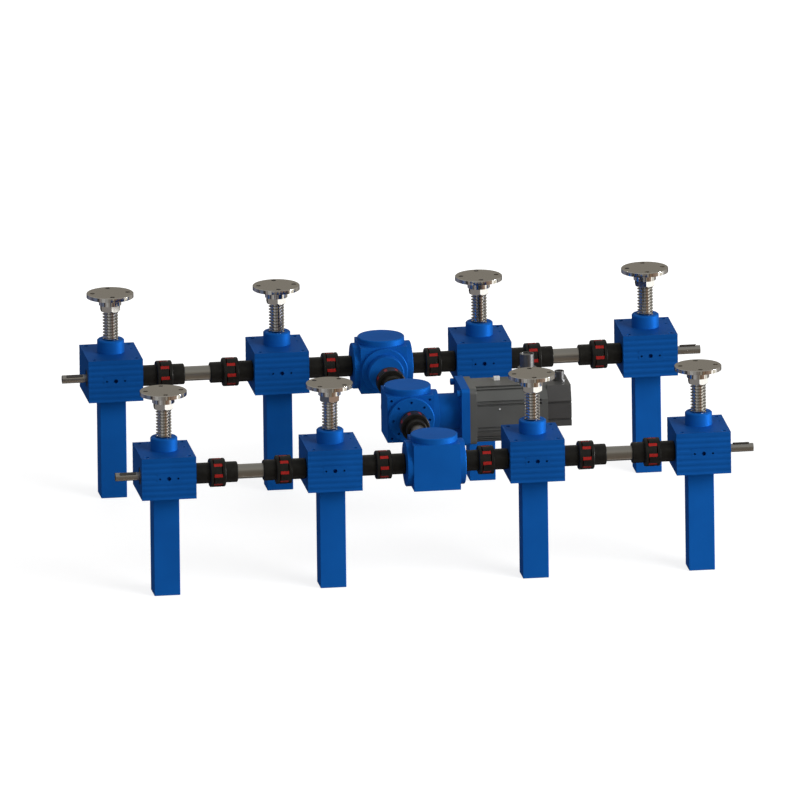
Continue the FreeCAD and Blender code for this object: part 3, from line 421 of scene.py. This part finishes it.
bmesh.ops.create_cone(bm, cap_ends=True, segments=24, radius1=head_wide * MM, radius2=head_narrow * MM,
                      depth=head_height * MM)
bmesh.ops.rotate(bm, verts=bm.verts, cent=(0, 0, 0), matrix=Matrix.Rotation(math.radians(90), 3, "X"))
bmesh.ops.translate(bm, verts=bm.verts, vec=(
    motor_low.x + head_along * MM, motor_low.y - head_height / 2 * MM, motor_axis.z + head_above * MM))
piece("motor_front_screw_with_highlight", bm, zinc_whitened_as_highlight, "base")

# Floor of the studio: a wide sheet of pale board, dull, just under the tubes.
# It stays white to the eye, a little less so under the object, and takes the object's shadow.
floor_radius, floor_drop = 9.0, 0.2
bm = bmesh.new()
bmesh.ops.create_circle(bm, cap_ends=True, segments=64, radius=floor_radius)
bmesh.ops.translate(bm, verts=bm.verts, vec=(0, 0, -floor_drop * MM))
mesh = bpy.data.meshes.new("floor")
bm.to_mesh(mesh)
bm.free()
floor = bpy.data.objects.new("floor", mesh)
bpy.context.scene.collection.objects.link(floor)
floor.visible_glossy = False
white_floor, tree, shader, place = finish("pale_floor", {
    "Base Color": linear("959595"), "Roughness": 1.0, "Specular IOR Level": 0.0,
    "Emission Color": linear("ffffff")})
path = add(tree, "LightPath")
reach = add(tree, "VectorMath", {"operation": "LENGTH"}, {0: place})
paler = add(tree, "MapRange", {"From Min": 0.6, "From Max": 1.8, "To Min": 0.82, "To Max": 1.0},
            {"Value": reach.outputs["Value"]})
seen = add(tree, "Math", {"operation": "MULTIPLY"},
           {0: paler.outputs["Result"], 1: path.outputs["Is Camera Ray"]})
join(tree, shader, {"Emission Strength": seen.outputs["Value"]})
mesh.materials.append(white_floor)

# Lamps: a large soft key from the right, two fills, and a side lamp that gives only the sheen.
# They stand far off, so that the light is even along the rows; steel mirrors the cards, not the key.
lamp_distance, lamp_aim = 8.0, Vector((0, 0, 0.25))
for name, way, size, power, shines in (
        ("soft_key", (0.64, -0.65, 0.41), 6.0, 790.0, False),
        ("soft_fill", (-0.85, -0.45, 0.28), 6.0, 92.0, False),
        ("back_fill", (0.15, 0.98, 0.12), 6.0, 240.0, False),
        ("side_sheen", (0.97, -0.2, 0.12), 1.8, 750.0, True)):
    lamp = bpy.data.lights.new(name, "AREA")
    lamp.shape = "DISK"
    lamp.size = size
    lamp.energy = power
    light = bpy.data.objects.new(name, lamp)
    bpy.context.scene.collection.objects.link(light)
    light.location = Vector(way).normalized() * lamp_distance + lamp_aim
    light.rotation_euler = (-Vector(way)).to_track_quat("-Z", "Y").to_euler()
    light.visible_glossy = shines
    light.visible_diffuse = not shines

# Cards round the object: grey, brown and white ones that stand below the horizon, and a plain dome above.
# Bright steel mirrors them, everything else gets an even white light, and the eye sees white.
world = bpy.data.worlds.new("studio")
bpy.context.scene.world = world
world.use_nodes = True
tree = world.node_tree
tree.nodes.clear()
way = add(tree, "SeparateXYZ", {}, {"Vector": add(tree, "TexCoord").outputs["Generated"]}).outputs
round_about = add(tree, "Math", {"operation": "ARCTAN2"}, {0: way["Y"], 1: way["X"]})
turn = add(tree, "MapRange", {"From Min": -math.pi, "From Max": math.pi},
           {"Value": round_about.outputs["Value"]})
low_cards = add(tree, "ValToRGB", {}, {"Fac": turn.outputs["Result"]}, [
    (0.0, "51596c"), (0.045, "51596c"), (0.055, "2d2d2b"), (0.075, "2d2d2b"), (0.09, "6f6767"),
    (0.115, "8e8e8e"), (0.173, "848484"), (0.229, "67625e"), (0.284, "78736b"), (0.30, "64513f"),
    (0.34, "766457"), (0.395, "806e63"), (0.42, "8e8171"), (0.427, "ffffff"), (0.446, "ffffff"),
    (0.454, "beb9a8"), (0.48, "c1beb4"), (0.495, "cfcfcf"), (0.512, "cfcfcf"), (0.527, "8c8985"),
    (0.60, "817e7b"), (0.66, "5f5855"), (0.72, "2d2d2d"), (0.74, "151515"), (0.80, "151515"),
    (0.83, "4d5264"), (0.895, "666876"), (0.951, "444655"), (1.0, "51596c")])
stripes = add(tree, "TexNoise", {"noise_dimensions": "1D", "Scale": 50.0, "Detail": 1.0},
              {"W": turn.outputs["Result"]})
power = add(tree, "MapRange", {"From Min": 0.3, "From Max": 0.7, "To Min": 0.8, "To Max": 2.4},
            {"Value": stripes.outputs["Fac"]})
dome = add(tree, "ValToRGB", {}, {"Fac": way["Z"]}, [
    (0.0, "77736c"), (0.3, "6f6b64"), (0.5, "9d9b96"), (1.0, "919190")])
level = add(tree, "MapRange", {"From Min": -0.06, "From Max": 0.06}, {"Value": way["Z"]})
cards = add(tree, "Mix", {"data_type": "RGBA"}, {
    0: level.outputs["Result"], 6: low_cards.outputs["Color"], 7: dome.outputs["Color"]})
strength = add(tree, "Mix", {3: 1.6}, {0: level.outputs["Result"], 2: power.outputs["Result"]})
plain = add(tree, "Background", {"Color": linear("ffffff"), "Strength": 0.28})
mirrored = add(tree, "Background", {}, {"Color": cards.outputs[2], "Strength": strength.outputs[0]})
white = add(tree, "Background", {"Color": linear("ffffff"), "Strength": 1.0})
path = add(tree, "LightPath").outputs
lit = add(tree, "MixShader", {}, {0: path["Is Glossy Ray"], 1: plain.outputs[0], 2: mirrored.outputs[0]})
shown = add(tree, "MixShader", {}, {0: path["Is Camera Ray"], 1: lit.outputs[0], 2: white.outputs[0]})
add(tree, "OutputWorld", {}, {"Surface": shown.outputs[0]})

# Camera: parallel, like the photograph, and looking down on the front row from a little to the left.
# Its right and up ways and the middle of the picture were fitted to the photograph.
view_width, view_distance, view_middle = 1.5264, 3.0, Vector((-9.93, 6.25, 260.1))
right, up = Vector((0.99038, -0.13775, -0.01213)), Vector((0.04701, 0.25290, 0.96634))
view = bpy.data.cameras.new("photo_camera")
view.type = "ORTHO"
view.ortho_scale = view_width
view.clip_end = 30.0
camera = bpy.data.objects.new("photo_camera", view)
bpy.context.scene.collection.objects.link(camera)
back = right.cross(up).normalized()
right = up.cross(back).normalized()
turned = Matrix((right, up, back)).transposed().to_4x4()
turned.translation = view_middle * MM + back * view_distance
camera.matrix_world = turned
bpy.context.scene.camera = camera
bpy.context.scene.view_settings.view_transform = "Standard"
